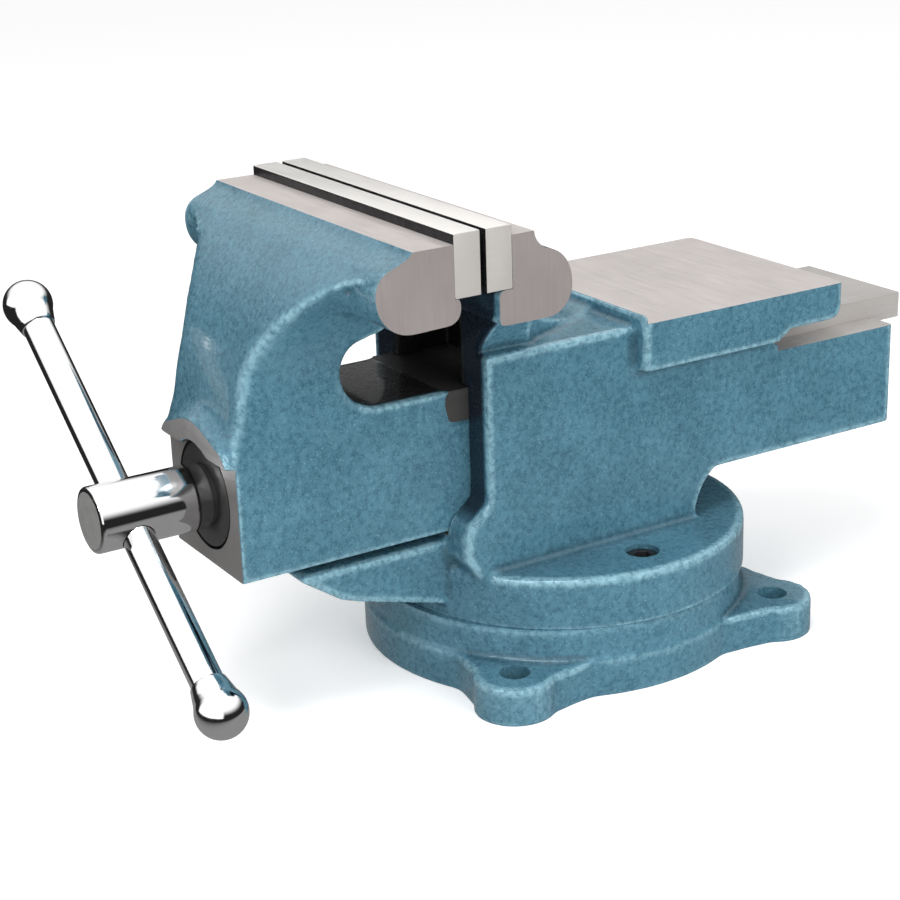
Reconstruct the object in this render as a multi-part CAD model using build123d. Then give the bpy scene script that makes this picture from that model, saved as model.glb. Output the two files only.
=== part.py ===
from build123d import *
import math
import os

# Bench vise with a swivel base and an anvil, in millimetres, +Z up.
# Origin: swivel axis on the bench plane. X runs along the jaws, the screw handle points to -Y,
# and the anvil and the tail channel point to +Y.

# Jaws
jaw_half = 100.0          # half of the 200 mm jaw width
jaw_gap_y = -108.0        # middle plane between the jaw plates
jaw_gap = 2.3             # the jaws stand open by this much
plate_thick = 14.5
plate_top = 255.0
plate_height = 30.5
casting_top = 250.0       # machined tops of both castings, below the plate tops
jaw_under = 207.5         # underside of the fixed jaw head
moving_plate_back = jaw_gap_y - jaw_gap / 2 - plate_thick
fixed_plate_back = jaw_gap_y + jaw_gap / 2 + plate_thick
plate_screw_x = 60.0
plate_screw_z = plate_top - plate_height / 2
plate_screw_radius = 5.0

# Slide beam of the moving jaw
slide_half = 38.0
slide_top = 158.5
rail_bottom = 146.0
rail_front = -94.0
slide_front = -209.5
slide_rear = 211.0
web_rear = 184.0          # the sides of the beam end here, its top plate runs on
slide_bottom = 84.0       # deep front part, which holds the boss
slide_shallow = 100.0     # rear part, which runs over the tail floor
slide_step_y = 20.0
cavity_half = 24.0
cavity_top = 144.0
boss_inner_y = -175.0
arm_half = 37.5
slide_play = 0.25
hood_radius = 47.5
hood_z = 115.0            # height of the hood's centre
hood_front = -214.5
hood_under = 143.0

# Fixed body
body_half = 56.0
body_front = -80.0
body_rear = 63.5
body_top = 178.0
tunnel_floor = 82.0
tail_floor = 98.0
tail_floor_start = 45.0
tail_rear = 190.3
tail_top = 147.0
tail_bottom = 89.5
anvil_half = 66.0
anvil_front = 10.0
anvil_rear = 143.0
anvil_top = 181.3
anvil_under = 155.0
anvil_rear_under = 160.8
channel_start = 104.0
tongue_half = 36.5
neck_core_half = 31.0       # cored pocket in the front of the neck, over the slide
neck_core_rear = -48.0
neck_core_top = 192.0

# Swivel
disc_radius = 100.8
disc_top = 63.6
base_height = 36.4
disc_bottom = base_height + 0.1
base_radius = 105.0
foot_x = -2.0             # the foot's outer wall is cast a little off the swivel axis
foot_y = -3.6
lug_angles = (-46.0, 46.0, 180.0)
lug_circle = 117.0
lug_radius = 21.0
lug_height = 19.7
lug_hole_radius = 8.0
t_slot_radius = 76.0
t_slot_half = 6.5
t_slot_wide = 11.5
t_slot_lip = 24.0         # underside of the slot's lips
t_slot_floor = 11.0
pivot_radius = 10.0
foot_recess_radius = 92.0
foot_recess_depth = 3.0
foot_core_outer = 60.0      # cored ring in the underside, between the pivot boss and the slot
foot_core_inner = 33.0
foot_core_top = 26.0
tongue_core_half = 24.0
tongue_core_top = 69.0

# Screw and handle
screw_z = 119.6
head_radius = 16.5
head_front = -269.8
head_rear = -212.0
handle_y = -250.8
handle_angle = 144.25     # direction of the upper end of the bar, from +X towards +Z
upper_reach = 135.2
lower_reach = 115.6
bar_radius = 8.0
ball_radius = 12.7
ball_neck = 16.4          # where the cone behind each ball ends
journal_radius = 15.0
thread_radius = 14.0
thread_root = 11.2
thread_pitch = 6.0
thread_start = -140.0
thread_end = 196.0
running_play = 0.08
washer_recess_radius = 28.0
washer_recess_depth = 4.0

# Nut block
nut_front = -62.0
nut_rear = -12.0
nut_half = 20.0
nut_top = 138.0
nut_bolt_y = -44.0
nut_bolt_radius = 6.0


def side_shape(wire_edges, half):
    """Extrude a closed outline drawn in Y and Z to both sides of X = 0."""
    face = make_face(Wire(wire_edges))
    return extrude(face, amount=half, dir=(1, 0, 0), both=True)


def at(y, z):
    return (0.0, y, z)


def side_polygon(points, half):
    """Extrude a polygon of (y, z) points to both sides of X = 0."""
    corners = [at(y, z) for y, z in points]
    return side_shape(Polyline(*corners, close=True).edges(), half)


def block(x0, x1, y0, y1, z0, z1):
    middle = ((x0 + x1) / 2, (y0 + y1) / 2, (z0 + z1) / 2)
    return Pos(*middle) * Box(x1 - x0, y1 - y0, z1 - z0)


def rod_y(radius, y0, y1, x=0.0, z=screw_z):
    """Cylinder along Y."""
    return Pos(x, (y0 + y1) / 2, z) * Rot(90, 0, 0) * Cylinder(radius, y1 - y0)


def rod_z(radius, z0, z1, x=0.0, y=0.0):
    """Cylinder along Z."""
    return Pos(x, y, (z0 + z1) / 2) * Cylinder(radius, z1 - z0)


def front_outline(half_low, z_low, z_bend, half_bend, z_wide, z_top):
    """Outline seen from the front: narrow below, swept out to the full jaw width above."""
    right = [
        Line((half_low, 0, 0), (half_low, 0, z_low)),
        ThreePointArc((half_low, 0, z_low), (half_bend, 0, z_bend), (jaw_half, 0, z_wide)),
        Line((jaw_half, 0, z_wide), (jaw_half, 0, z_top)),
    ]
    left = [edge.mirror(Plane.YZ) for edge in right]
    caps = [
        Line((jaw_half, 0, z_top), (-jaw_half, 0, z_top)),
        Line((-half_low, 0, 0), (half_low, 0, 0)),
    ]
    return make_face(Wire(right + left + caps))


def moving_head():
    back = moving_plate_back
    ledge = back + 3.2
    outline = [
        Line(at(back, casting_top), at(-143.0, casting_top)),
        ThreePointArc(at(-143.0, casting_top), at(-149.0, 246.6), at(-157.0, 243.4)),
        ThreePointArc(at(-157.0, 243.4), at(-163.5, 238.0), at(-164.8, 230.3)),
        ThreePointArc(at(-164.8, 230.3), at(-159.5, 217.8), at(-146.0, 212.2)),
        Line(at(-146.0, 212.2), at(-128.0, 212.8)),
        ThreePointArc(at(-128.0, 212.8), at(-122.4, 215.0), at(ledge, 220.0)),
        Line(at(ledge, 220.0), at(ledge, plate_top - plate_height)),
        Line(at(ledge, plate_top - plate_height), at(back, plate_top - plate_height)),
        Line(at(back, plate_top - plate_height), at(back, casting_top)),
    ]
    return side_shape(outline, jaw_half)


def moving_arm():
    """C-shaped arm from the jaw head down to the boss, wide at the head and narrow at the boss."""
    throat_x = -130.0
    throat_z = 177.5
    throat_r = 19.0
    outline = [
        Line(at(moving_plate_back - 1.0, 240.0), at(-160.5, 240.6)),
        ThreePointArc(at(-160.5, 240.6), at(-193.2, 206.5), at(-207.4, 164.0)),
        Line(at(-207.4, 164.0), at(slide_front, 143.0)),
        Line(at(slide_front, 143.0), at(slide_front, slide_bottom)),
        Line(at(slide_front, slide_bottom), at(throat_x + 10, slide_bottom)),
        Line(at(throat_x + 10, slide_bottom), at(throat_x + 10, throat_z - throat_r)),
        Line(at(throat_x + 10, throat_z - throat_r), at(throat_x, throat_z - throat_r)),
        ThreePointArc(
            at(throat_x, throat_z - throat_r),
            at(throat_x - throat_r, throat_z),
            at(throat_x, throat_z + throat_r),
        ),
        Line(at(throat_x, throat_z + throat_r), at(-121.0, 206.0)),
        Line(at(-121.0, 206.0), at(moving_plate_back - 1.0, 216.0)),
        Line(at(moving_plate_back - 1.0, 216.0), at(moving_plate_back - 1.0, 240.0)),
    ]
    side = side_shape(outline, jaw_half)
    front = extrude(
        front_outline(arm_half, 186.0, 217.5, 56.0, 240.0, 245.0),
        amount=400,
        dir=(0, 1, 0),
        both=True,
    )
    return side & front


def moving_hood():
    """Arched lip on the front of the arm, over the screw."""
    arch = rod_y(hood_radius, hood_front, slide_front + 12.0, 0.0, hood_z)
    return arch & block(-arm_half, arm_half, hood_front - 1, slide_front + 13.0, hood_under, 200.0)


def moving_slide():
    beam = block(-arm_half, arm_half, slide_front, slide_step_y, slide_bottom, slide_top)
    beam += block(-arm_half, arm_half, slide_step_y - 1, web_rear, slide_shallow, slide_top)
    rail = block(-slide_half, slide_half, rail_front, slide_rear, rail_bottom, slide_top)
    return beam + fillet(rail.edges().filter_by(Axis.X).sort_by(Axis.Y)[:1], 5.0)


def plate_screw_holes(y0, y1):
    return [rod_y(plate_screw_radius, y0, y1, x, plate_screw_z) for x in (-plate_screw_x, plate_screw_x)]


def make_moving_jaw():
    body = moving_head() + moving_arm() + moving_hood() + moving_slide()
    body -= block(-cavity_half, cavity_half, boss_inner_y, slide_rear + 1, 50.0, cavity_top)
    body -= rod_y(journal_radius + running_play, slide_front - 8, boss_inner_y + 1)
    body -= rod_y(washer_recess_radius, slide_front - 8, slide_front + washer_recess_depth)
    for hole in plate_screw_holes(moving_plate_back - 14, moving_plate_back + 1):
        body -= hole
    return body


def fixed_head():
    back = fixed_plate_back
    ledge = back - 7.4
    outline = [
        Line(at(back, casting_top), at(-80.2, casting_top)),
        ThreePointArc(at(-80.2, casting_top), at(-77.0, 243.2), at(-69.8, 240.0)),
        ThreePointArc(at(-69.8, 240.0), at(-62.0, 233.6), at(-59.2, 225.0)),
        ThreePointArc(at(-59.2, 225.0), at(-61.8, 213.2), at(-71.0, jaw_under)),
        Line(at(-71.0, jaw_under), at(ledge, jaw_under)),
        Line(at(ledge, jaw_under), at(ledge, plate_top - plate_height)),
        Line(at(ledge, plate_top - plate_height), at(back, plate_top - plate_height)),
        Line(at(back, plate_top - plate_height), at(back, casting_top)),
    ]
    return side_shape(outline, jaw_half)


def fixed_neck():
    """Neck between the box and the jaw head: swept out to the jaws, and narrowed towards the anvil."""
    outline = [
        Line(at(body_front, body_top - 10), at(body_front, 196.0)),
        ThreePointArc(at(body_front, 196.0), at(-80.5, 203.0), at(-88.0, jaw_under + 1)),
        Line(at(-88.0, jaw_under + 1), at(-88.0, 220.0)),
        Line(at(-88.0, 220.0), at(-62.0, 220.0)),
        ThreePointArc(at(-62.0, 220.0), at(-46.0, 196.5), at(12.0, 181.0)),
        Line(at(12.0, 181.0), at(12.0, body_top - 10)),
        Line(at(12.0, body_top - 10), at(body_front, body_top - 10)),
    ]
    side = side_shape(outline, jaw_half)
    front = extrude(
        front_outline(48.0, 180.0, 197.0, 64.0, jaw_under + 3, 225.0),
        amount=400,
        dir=(0, 1, 0),
        both=True,
    )
    plan = Polyline(
        (-jaw_half, -100.0, 0.0),
        (jaw_half, -100.0, 0.0),
        (jaw_half, -72.0, 0.0),
        (46.0, -48.0, 0.0),
        (16.0, 13.0, 0.0),
        (-16.0, 13.0, 0.0),
        (-46.0, -48.0, 0.0),
        (-jaw_half, -72.0, 0.0),
        close=True,
    )
    top = extrude(make_face(Wire(plan.edges())), amount=300, dir=(0, 0, 1))
    return side & front & top


def fixed_box():
    """Body box with the tail channel behind it."""
    outline = [
        Line(at(body_front, disc_top - 1), at(body_front, body_top)),
        Line(at(body_front, body_top), at(anvil_front + 2, body_top)),
        Line(at(anvil_front + 2, body_top), at(anvil_front + 2, anvil_rear_under + 1)),
        Line(at(anvil_front + 2, anvil_rear_under + 1), at(channel_start, anvil_rear_under + 1)),
        Line(at(channel_start, anvil_rear_under + 1), at(channel_start, tail_top)),
        Line(at(channel_start, tail_top), at(tail_rear, tail_top)),
        Line(at(tail_rear, tail_top), at(tail_rear, tail_bottom)),
        Line(at(tail_rear, tail_bottom), at(body_rear + 1, tail_bottom)),
        ThreePointArc(at(body_rear + 1, tail_bottom), at(56.0, 80.0), at(51.5, disc_top - 1)),
        Line(at(51.5, disc_top - 1), at(body_front, disc_top - 1)),
    ]
    return side_shape(outline, body_half)


def fixed_nose():
    """Flared foot at the front of the box, on both sides of the slide."""
    points = [(body_front + 5, 98.0), (body_front, 98.0), (-92.0, 91.0), (-94.4, 84.0)]
    points += [(-94.4, 73.0), (-86.5, disc_top - 2), (body_front + 5, disc_top - 2)]
    return side_polygon(points, body_half)


def fixed_tongue():
    """Shelf that runs forward under the slide."""
    points = [(-60.0, 79.0), (-177.0, 79.0), (-178.5, 77.0), (-156.0, 61.5)]
    points += [(-145.0, 57.5), (-107.0, 47.0), (-97.0, 44.0), (-60.0, 44.0)]
    core = block(-tongue_core_half, tongue_core_half, -158.0, -104.0, 40.0, tongue_core_top)
    return side_polygon(points, tongue_half) - core


def fixed_anvil():
    points = [(anvil_front, anvil_top), (anvil_rear, anvil_top), (anvil_rear, anvil_rear_under)]
    points += [(channel_start + 2, anvil_rear_under), (98.0, anvil_under), (anvil_front, anvil_under)]
    slab = side_polygon(points, anvil_half)
    rear = slab.edges().filter_by(Axis.X).filter_by_position(Axis.Y, anvil_rear - 1, anvil_rear + 1)
    slab = fillet(rear.sort_by(Axis.Z)[:1], 7.0)
    upright = slab.edges().filter_by(Axis.Z)
    return fillet(upright, 2.5)


def lock_bolt_places():
    return [(t_slot_radius, 0.0), (-t_slot_radius, 0.0)]


def make_fixed_body():
    body = fixed_box() + fixed_head() + fixed_neck() + fixed_anvil() + fixed_nose() + fixed_tongue()
    disc = rod_z(disc_radius, disc_bottom, disc_top)
    body += fillet(disc.edges().sort_by(Axis.Z)[-1:], 2.0)
    opening = slide_half + slide_play
    roof = slide_top + 0.7
    body -= block(-opening, opening, -100.0, tail_floor_start, tunnel_floor, roof)
    body -= block(-opening, opening, tail_floor_start - 1, tail_rear + 1, tail_floor, roof)
    body -= block(-opening, opening, channel_start, tail_rear + 1, tail_floor, anvil_rear_under - 0.05)
    body -= block(-neck_core_half, neck_core_half, -100.0, neck_core_rear, roof - 1, neck_core_top)
    for x, y in lock_bolt_places():
        body -= rod_z(5.5, disc_bottom - 1, disc_top + 1, x, y)
        body -= rod_z(9.0, disc_top - 12, disc_top + 1, x, y)
    body -= rod_z(pivot_radius, disc_bottom - 1, 74.0)
    body -= rod_z(nut_bolt_radius, disc_bottom - 1, tunnel_floor + 1, 0.0, nut_bolt_y)
    body -= rod_z(13.0, disc_bottom - 1, disc_bottom + 16, 0.0, nut_bolt_y)
    for hole in plate_screw_holes(fixed_plate_back - 1, fixed_plate_back + 14):
        body -= hole
    return body


def base_plan():
    """Round foot with three bolt lugs, seen from above."""
    plan = Sketch() + Pos(foot_x, foot_y) * Circle(base_radius)
    for angle in lug_angles:
        flank = [(60.0, -50.0), (92.0, -41.5), (108.0, -28.5), (lug_circle + 4, 1.5 - lug_radius)]
        outline = flank + [(x, -y) for x, y in reversed(flank)]
        arm = make_face(Wire(Polyline(*outline, close=True).edges()))
        arm += Pos(lug_circle, 0) * Circle(lug_radius)
        plan += Rot(0, 0, angle) * arm
    foot = Vector(foot_x, foot_y)
    notches = [v for v in plan.vertices() if abs((Vector(v.X, v.Y) - foot).length - base_radius) < 0.5]
    return fillet(notches, 14.0)


def make_swivel_base():
    body = extrude(base_plan(), amount=lug_height)
    drum = Pos(foot_x, foot_y, base_height / 2) * Cone(base_radius, base_radius - 3.0, base_height)
    body += fillet(drum.edges().sort_by(Axis.Z)[-1:], 2.0)
    slot = rod_z(t_slot_radius + t_slot_half, t_slot_lip - 1, base_height + 1)
    slot -= rod_z(t_slot_radius - t_slot_half, t_slot_lip - 1, base_height + 1)
    wide = rod_z(t_slot_radius + t_slot_wide, t_slot_floor, t_slot_lip)
    wide -= rod_z(t_slot_radius - t_slot_wide, t_slot_floor, t_slot_lip)
    body -= slot + wide
    body -= rod_z(pivot_radius + running_play, -1, base_height + 1)
    body -= rod_z(26.0, -1, 15.0)
    body -= rod_z(foot_recess_radius, -1, foot_recess_depth)
    core = rod_z(foot_core_outer, 0, foot_core_top) - rod_z(foot_core_inner, -1, foot_core_top + 1)
    for angle in (0, 90):
        core -= Rot(0, 0, angle) * block(-100, 100, -4, 4, -1, foot_core_top + 1)
    body -= core
    for angle in lug_angles:
        x = lug_circle * math.cos(math.radians(angle))
        y = lug_circle * math.sin(math.radians(angle))
        body -= rod_z(lug_hole_radius, -1, lug_height + 1, x, y)
    return body


def make_jaw_plate(y0, y1, face_y):
    """Jaw plate with two countersunk holes; face_y is the gripping face."""
    plate = block(-jaw_half, jaw_half, y0, y1, plate_top - plate_height, plate_top)
    plate = chamfer(plate.edges().filter_by(Axis.X), 0.6)
    for hole in plate_screw_holes(y0 - 1, y1 + 1):
        plate -= hole
    inward = y0 if face_y == y1 else y1
    depth = 6.0 if face_y > inward else -6.0
    for x in (-plate_screw_x, plate_screw_x):
        plate -= countersink(x, face_y, depth, plate_screw_radius, 10.0)
    return plate


def countersink(x, face_y, depth, small, large):
    """Cone that narrows from the gripping face inwards."""
    turn = 90 if depth > 0 else -90
    cone = Cone(small, large, abs(depth))
    return Pos(x, face_y - depth / 2, plate_screw_z) * Rot(-turn, 0, 0) * cone


def make_plate_screws(face_y, into):
    """Two countersunk screws; into is +1 or -1, the way the screws point along Y."""
    screws = []
    head = 4.6
    shank = plate_thick + 12.0
    for x in (-plate_screw_x, plate_screw_x):
        depth = -head * into
        face = face_y + 1.0 * into
        screw = countersink(x, face, depth, plate_screw_radius - 0.1, 9.0)
        y0, y1 = sorted((face + head * into, face_y + shank * into))
        screw += rod_y(plate_screw_radius - 0.1, y0, y1, x, plate_screw_z)
        socket = Pos(x, face, plate_screw_z) * Rot(90, 0, 0) * extrude(
            RegularPolygon(3.6, 6), amount=3.0, both=True
        )
        screws.append(screw - socket)
    return Compound(children=screws)


def make_lead_screw():
    head = rod_y(head_radius, head_front, head_rear)
    head = chamfer(head.edges().sort_by(Axis.Y)[:1], 1.2)
    journal = rod_y(journal_radius, head_rear - 2, boss_inner_y + 2.5)
    stem = rod_y(thread_radius, boss_inner_y + 2, thread_start)
    body = head + journal + stem + thread_rings()
    turn = Rot(0, 90 - handle_angle, 0)
    hole = Pos(0, handle_y, screw_z) * turn * Cylinder(bar_radius + running_play, 60)
    body -= hole
    body -= Pos(0, collar_mid_y(), screw_z) * Cylinder(2.5, 60)
    return body


def thread_rings():
    """Trapezoidal rings at the thread's pitch, turned about the screw axis."""
    points = [(0.0, thread_start - 0.5)]
    points.append((thread_root, thread_start - 0.5))
    rings = int((thread_end - 6.0 - thread_start) / thread_pitch)
    for ring in range(rings):
        y = thread_start + ring * thread_pitch
        points.append((thread_root, y + 0.8))
        points.append((thread_radius, y + 1.8))
        points.append((thread_radius, y + 4.2))
        points.append((thread_root, y + 5.2))
    points.append((thread_root, thread_end - 1.5))
    points.append((thread_root - 1.5, thread_end))
    points.append((0.0, thread_end))
    corners = [(r, y, 0.0) for r, y in points]
    face = make_face(Wire(Polyline(*corners, close=True).edges()))
    return Pos(0, 0, screw_z) * revolve(face, Axis.Y, 360)


def collar_mid_y():
    return boss_inner_y + 23.0


def make_retaining_collar():
    middle = collar_mid_y()
    collar = rod_y(21.0, middle - 6, middle + 6)
    collar = chamfer(collar.edges().filter_by(GeomType.CIRCLE), 1.0)
    collar -= rod_y(thread_radius, middle - 7, middle + 7)
    return collar - Pos(0, middle, screw_z) * Cylinder(2.5, 60)


def make_collar_pin():
    return Pos(0, collar_mid_y(), screw_z) * Cylinder(2.5, 41.0)


def make_spring_washer():
    ring = rod_y(21.5, boss_inner_y + 0.1, boss_inner_y + 2.5)
    return ring - rod_y(journal_radius + 0.01, boss_inner_y, boss_inner_y + 2.6)


def make_thrust_spring():
    """Compression spring between the spring washer and the collar."""
    wire = 1.4
    start = boss_inner_y + 2.5 + wire
    length = collar_mid_y() - 6 - wire - start
    coil = Helix(pitch=length / 3, height=length, radius=18.0, center=(0, 0, 0), direction=(0, 0, 1))
    section = Plane(origin=coil @ 0, z_dir=coil % 0) * Circle(wire)
    spring = sweep(section, path=coil)
    return Pos(0, start, screw_z) * Rot(-90, 0, 0) * spring


def make_thrust_washer():
    y0 = slide_front + 0.1
    ring = rod_y(26.5, y0, slide_front + washer_recess_depth)
    return ring - rod_y(journal_radius + running_play, y0 - 1, slide_front + washer_recess_depth + 1)


def bar_direction():
    angle = math.radians(handle_angle)
    return Vector(math.cos(angle), 0, math.sin(angle))


def along_bar(distance):
    return Vector(0, handle_y, screw_z) + bar_direction() * distance


def bar_turn():
    return Rot(0, 90 - handle_angle, 0)


def make_handle_bar():
    middle = along_bar((upper_reach - lower_reach) / 2)
    length = upper_reach + lower_reach
    return Pos(*middle) * bar_turn() * Cylinder(bar_radius, length)


def make_handle_ball(reach, bar_side):
    """End ball with a short cone that closes on the bar, bored for the bar end."""
    ball = Sphere(ball_radius)
    cone = Cone(ball_radius - 0.9, bar_radius + 0.5, ball_neck - 4.8)
    cone = Pos(0, 0, (ball_neck + 4.8) / 2) * cone
    ball += cone if bar_side > 0 else Rot(180, 0, 0) * cone
    ball -= Pos(0, 0, bar_side * 20.0) * Cylinder(bar_radius, 40.0)
    return Pos(*along_bar(reach)) * bar_turn() * ball


def make_main_nut():
    nut = block(-nut_half, nut_half, nut_front, nut_rear, tunnel_floor, nut_top)
    nut = fillet(nut.edges().filter_by(Axis.Y).sort_by(Axis.Z)[-2:], 12.0)
    nut -= rod_y(thread_radius + running_play, nut_front - 1, nut_rear + 1)
    return nut - rod_z(nut_bolt_radius, tunnel_floor - 1, 100.0, 0.0, nut_bolt_y)


def hex_bolt(x, y, under_head, top, shank, flats, head):
    """Bolt that points up: its head hangs below under_head."""
    bolt = rod_z(shank, under_head, top, x, y)
    hexagon = Pos(x, y, under_head - head) * extrude(RegularPolygon(flats / math.sqrt(3), 6), amount=head)
    return bolt + hexagon


def ring_z(outer, inner, z0, z1, x=0.0, y=0.0):
    return rod_z(outer, z0, z1, x, y) - rod_z(inner, z0 - 1, z1 + 1, x, y)


def make_nut_bolt():
    return hex_bolt(0.0, nut_bolt_y, disc_bottom + 13.5, 98.0, nut_bolt_radius, 18.0, 7.5)


def make_nut_washer():
    return ring_z(12.0, nut_bolt_radius, disc_bottom + 13.5, disc_bottom + 16, 0.0, nut_bolt_y)


def make_pivot_bolt():
    return hex_bolt(0.0, 0.0, 12.4, 73.0, pivot_radius, 28.0, 10.0)


def make_pivot_washer():
    return ring_z(20.0, pivot_radius, 12.4, 14.9)


def make_lock_bolt(x, y):
    """Socket-head bolt in its recess on the disc."""
    seat = disc_top - 10.0
    bolt = rod_z(5.0, t_slot_floor + 3, seat, x, y)
    cap = rod_z(8.2, seat, seat + 8.0, x, y)
    bolt += chamfer(cap.edges().sort_by(Axis.Z)[-1:], 0.6)
    socket = Pos(x, y, seat + 3.5) * extrude(RegularPolygon(4.6, 6), amount=6.0)
    return bolt - socket


def make_lock_washer(x, y):
    return ring_z(8.6, 5.1, disc_top - 12.0, disc_top - 10.0, x, y)


def make_t_nut(x, y):
    """T-nut that hangs in the ring slot of the base."""
    nut = rod_z(10.0, t_slot_lip - 9.0, t_slot_lip - 0.3, x, y)
    nut += rod_z(5.9, t_slot_lip - 1, base_height - 1, x, y)
    return nut - rod_z(5.1, 0, 60, x, y)


def write(name, shape):
    export_step(shape, os.path.join("parts", name + ".step"))


def main():
    os.makedirs("parts", exist_ok=True)
    moving_face = jaw_gap_y - jaw_gap / 2
    fixed_face = jaw_gap_y + jaw_gap / 2
    (near_x, near_y), (far_x, far_y) = lock_bolt_places()
    nodes = {
        "swivel_base": make_swivel_base(),
        "fixed_body": make_fixed_body(),
        "moving_jaw": make_moving_jaw(),
        "fixed_jaw_plate": make_jaw_plate(fixed_face, fixed_plate_back, fixed_face),
        "moving_jaw_plate": make_jaw_plate(moving_plate_back, moving_face, moving_face),
        "fixed_plate_screws": make_plate_screws(fixed_face, 1),
        "moving_plate_screws": make_plate_screws(moving_face, -1),
        "lead_screw": make_lead_screw(),
        "thrust_washer": make_thrust_washer(),
        "retaining_collar": make_retaining_collar(),
        "collar_pin": make_collar_pin(),
        "spring_washer": make_spring_washer(),
        "thrust_spring": make_thrust_spring(),
        "handle_bar": make_handle_bar(),
        "handle_ball_upper": make_handle_ball(upper_reach, -1),
        "handle_ball_lower": make_handle_ball(-lower_reach, 1),
        "main_nut": make_main_nut(),
        "nut_bolt": make_nut_bolt(),
        "nut_washer": make_nut_washer(),
        "pivot_bolt": make_pivot_bolt(),
        "pivot_washer": make_pivot_washer(),
        "lock_bolt_near": make_lock_bolt(near_x, near_y),
        "lock_bolt_far": make_lock_bolt(far_x, far_y),
        "lock_washer_near": make_lock_washer(near_x, near_y),
        "lock_washer_far": make_lock_washer(far_x, far_y),
        "t_nut_near": make_t_nut(near_x, near_y),
        "t_nut_far": make_t_nut(far_x, far_y),
    }
    for name, shape in nodes.items():
        write(name, shape)


main()
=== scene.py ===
import math

import bmesh
import bpy
import numpy
from mathutils import Matrix, Vector


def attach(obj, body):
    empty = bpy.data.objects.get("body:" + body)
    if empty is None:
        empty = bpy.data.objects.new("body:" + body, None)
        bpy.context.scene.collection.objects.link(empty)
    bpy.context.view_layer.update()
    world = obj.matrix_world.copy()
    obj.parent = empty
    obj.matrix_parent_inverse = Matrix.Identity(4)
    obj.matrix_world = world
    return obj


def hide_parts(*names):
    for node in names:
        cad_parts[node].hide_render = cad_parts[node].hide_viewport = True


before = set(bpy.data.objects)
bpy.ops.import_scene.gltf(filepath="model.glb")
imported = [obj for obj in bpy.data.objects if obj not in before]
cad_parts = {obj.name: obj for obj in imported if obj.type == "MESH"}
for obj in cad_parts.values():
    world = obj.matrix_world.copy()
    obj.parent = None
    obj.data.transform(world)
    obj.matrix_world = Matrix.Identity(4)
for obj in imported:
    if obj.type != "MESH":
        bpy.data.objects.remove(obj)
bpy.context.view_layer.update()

print("vise: frame loaded")

screwZ = 0.1196  # height of the screw's axis


# one socket of a material: an expression on it adds its Math nodes
class Signal:
    def __init__(self, finish, socket):
        self.finish = finish
        self.socket = socket

    def maths(self, operation, *values):
        links = {place: value for place, value in enumerate(values)}
        return self.finish.signal("ShaderNodeMath", {"operation": operation}, links)

    def __add__(self, other):
        return self.maths("ADD", self, other)

    def __radd__(self, other):
        return self.maths("ADD", other, self)

    def __sub__(self, other):
        return self.maths("SUBTRACT", self, other)

    def __rsub__(self, other):
        return self.maths("SUBTRACT", other, self)

    def __mul__(self, other):
        return self.maths("MULTIPLY", self, other)

    def __rmul__(self, other):
        return self.maths("MULTIPLY", other, self)

    def __truediv__(self, other):
        return self.maths("DIVIDE", self, other)

    def size(self):
        return self.maths("ABSOLUTE", self)

    # soft step from 0 at low to 1 at high
    def between(self, low, high):
        settings = {"interpolation_type": "SMOOTHSTEP"}
        return self.finish.signal("ShaderNodeMapRange", settings, {0: self, 1: low, 2: high})


class Finish:
    def __init__(self, tree):
        self.tree = tree
        tree.nodes.clear()

    # one way to add any node: its type, its settings, and the values or links of its sockets
    def node(self, kind, settings=None, links=None):
        made = self.tree.nodes.new(kind)
        for key, value in (settings or {}).items():
            setattr(made, key, value)
        for key, value in (links or {}).items():
            if isinstance(value, Signal):
                self.tree.links.new(value.socket, made.inputs[key])
            else:
                made.inputs[key].default_value = value
        return made

    def signal(self, kind, settings=None, links=None, output=0):
        return Signal(self, self.node(kind, settings, links).outputs[output])

    def place(self, scale=(1, 1, 1), shift=(0, 0, 0)):
        spot = self.signal("ShaderNodeTexCoord", output="Object")
        links = {"Vector": spot, "Scale": scale, "Location": shift}
        return self.signal("ShaderNodeMapping", {}, links)

    def axes(self):
        parts = self.node("ShaderNodeSeparateXYZ", {}, {0: self.place()})
        return [Signal(self, socket) for socket in parts.outputs]

    # scale is given as the size of one feature in metres
    def cloud(self, feature, detail=3.0, rough=0.55, place=None):
        links = {"Scale": 1.0 / feature, "Detail": detail, "Roughness": rough}
        links["Vector"] = place or self.place()
        return self.signal("ShaderNodeTexNoise", {}, links)

    def cells(self, feature, smooth=0.0, output="Distance"):
        settings = {"feature": "SMOOTH_F1" if smooth else "F1"}
        links = {"Scale": 1.0 / feature, "Vector": self.place()}
        if smooth:
            links["Smoothness"] = smooth
        return self.signal("ShaderNodeTexVoronoi", settings, links, output)

    def blend(self, amount, first, second):
        settings = {"data_type": "RGBA"}
        low, high = (c if isinstance(c, Signal) else (*c, 1.0) for c in (first, second))
        return self.signal("ShaderNodeMix", settings, {0: amount, 6: low, 7: high}, 2)

    def bump(self, height, distance, strength=1.0):
        links = {"Height": height, "Distance": distance, "Strength": strength}
        return self.signal("ShaderNodeBump", {}, links)

    def shader(self, **links):
        named = {key.replace("_", " "): value for key, value in links.items()}
        surface = self.signal("ShaderNodeBsdfPrincipled", {}, named)
        self.node("ShaderNodeOutputMaterial", {}, {"Surface": surface})


def newFinish(name):
    material = bpy.data.materials.new(name)
    material.use_nodes = True
    return material, Finish(material.node_tree)


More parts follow.
